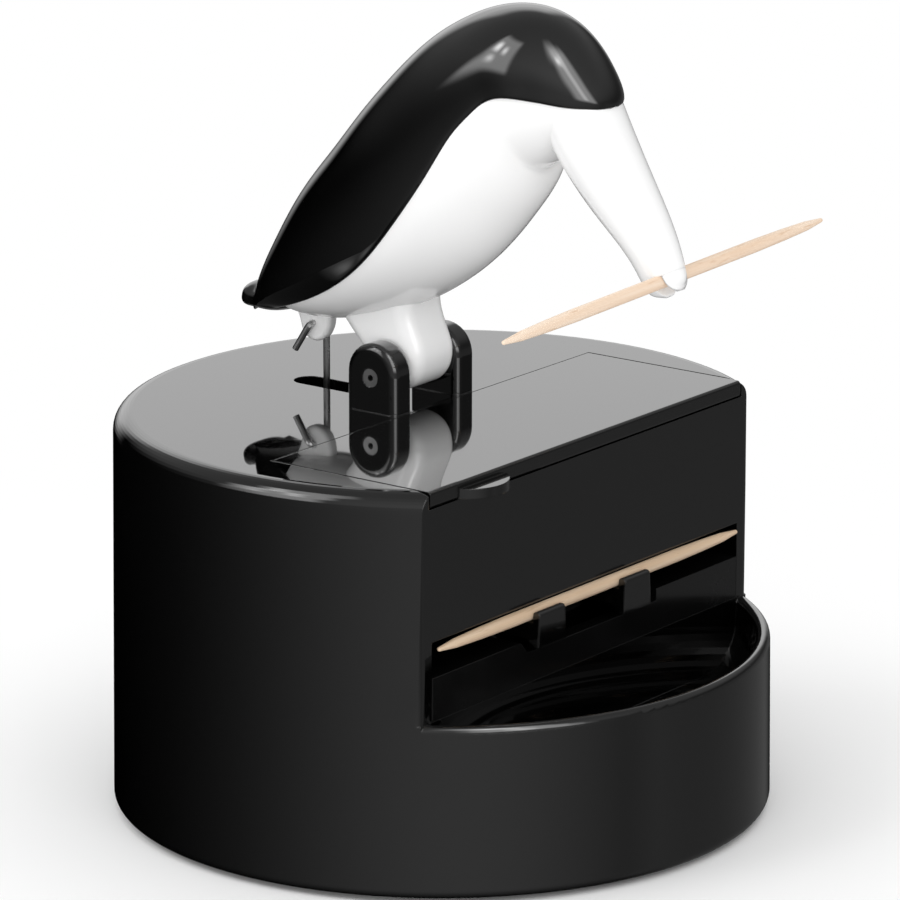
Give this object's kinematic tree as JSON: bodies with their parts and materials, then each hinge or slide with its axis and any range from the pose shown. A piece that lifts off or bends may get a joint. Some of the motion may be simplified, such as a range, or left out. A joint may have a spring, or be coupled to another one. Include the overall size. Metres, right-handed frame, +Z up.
{
  "type": "toothpick dispenser",
  "caption": "Table toothpick dispenser: a pivoting bird on a round hopper base dips its beak to pick a toothpick from a front cradle.",
  "frame": {"origin": "centre of the round base, on the surface it stands on", "axes": "+Z up; -Y towards the flat front and the tray, where the beak dips; +X to the right seen from the front, along the toothpicks"},
  "size_m": [0.0856, 0.0856, 0.1063],
  "materials": {
    "black_gloss": "polished moulded black plastic",
    "black_inner": "moulded black plastic, softer gloss",
    "white_gloss": "polished moulded white plastic",
    "steel": "plain steel",
    "zinc": "zinc-plated steel",
    "rubber": "matt rubber",
    "birch": "pale sanded birch"
  },
  "bodies": {
    "base": {"base_housing": "black_gloss", "bottom_cover": "black_inner", "cover_screws": "zinc", "foot_pads": "rubber", "feed_chute": "black_inner", "chute_screws": "zinc", "pivot_pin": "steel", "lever_bracket": "zinc", "bracket_screws": "zinc", "lever_shaft": "steel", "shaft_clips": "steel", "return_spring": "steel"},
    "lid": {"hopper_lid": "black_gloss"},
    "bird": {"bird_leg": "white_gloss", "bird_body": "white_gloss", "bird_cap": "black_gloss", "bird_beak": "white_gloss"},
    "lever": {"pickup_lever": "black_inner", "toothpick_ready": "birch"},
    "link": {"link_wire": "steel"},
    "held_pick": {"toothpick_held": "birch"}
  },
  "joints": [
    {"name": "bird_dip", "type": "hinge", "parent": "base", "child": "bird", "pos_m": [0, 0.0054, 0.057], "axis": [1, 0, 0], "range_deg": [0, 53], "stiffness_Nm_per_rad": 0.008, "springref_deg": -34.38},
    {"name": "lever_rock", "type": "hinge", "parent": "base", "child": "lever", "pos_m": [0, -0.018, 0.011], "axis": [1, 0, 0], "range_deg": [0, 18], "deforming": ["return_spring"]},
    {"name": "wire_swing", "type": "hinge", "parent": "bird", "child": "link", "pos_m": [0, 0.02, 0.0607], "axis": [1, 0, 0], "range_deg": [-49, 0]},
    {"name": "lid_lift", "type": "slide", "parent": "base", "child": "lid", "axis": [0, 0, 1], "range_m": [0, 0.0022]},
    {"name": "pick_pull", "type": "slide", "parent": "bird", "child": "held_pick", "axis": [0.9976, -0.0436, 0.0541], "range_m": [0, 0.036]}
  ],
  "couplings": [
    {"joint": "lever_rock", "follows": "bird_dip", "ratio": 0.3313},
    {"joint": "wire_swing", "follows": "bird_dip", "ratio": -0.9239}
  ]
}
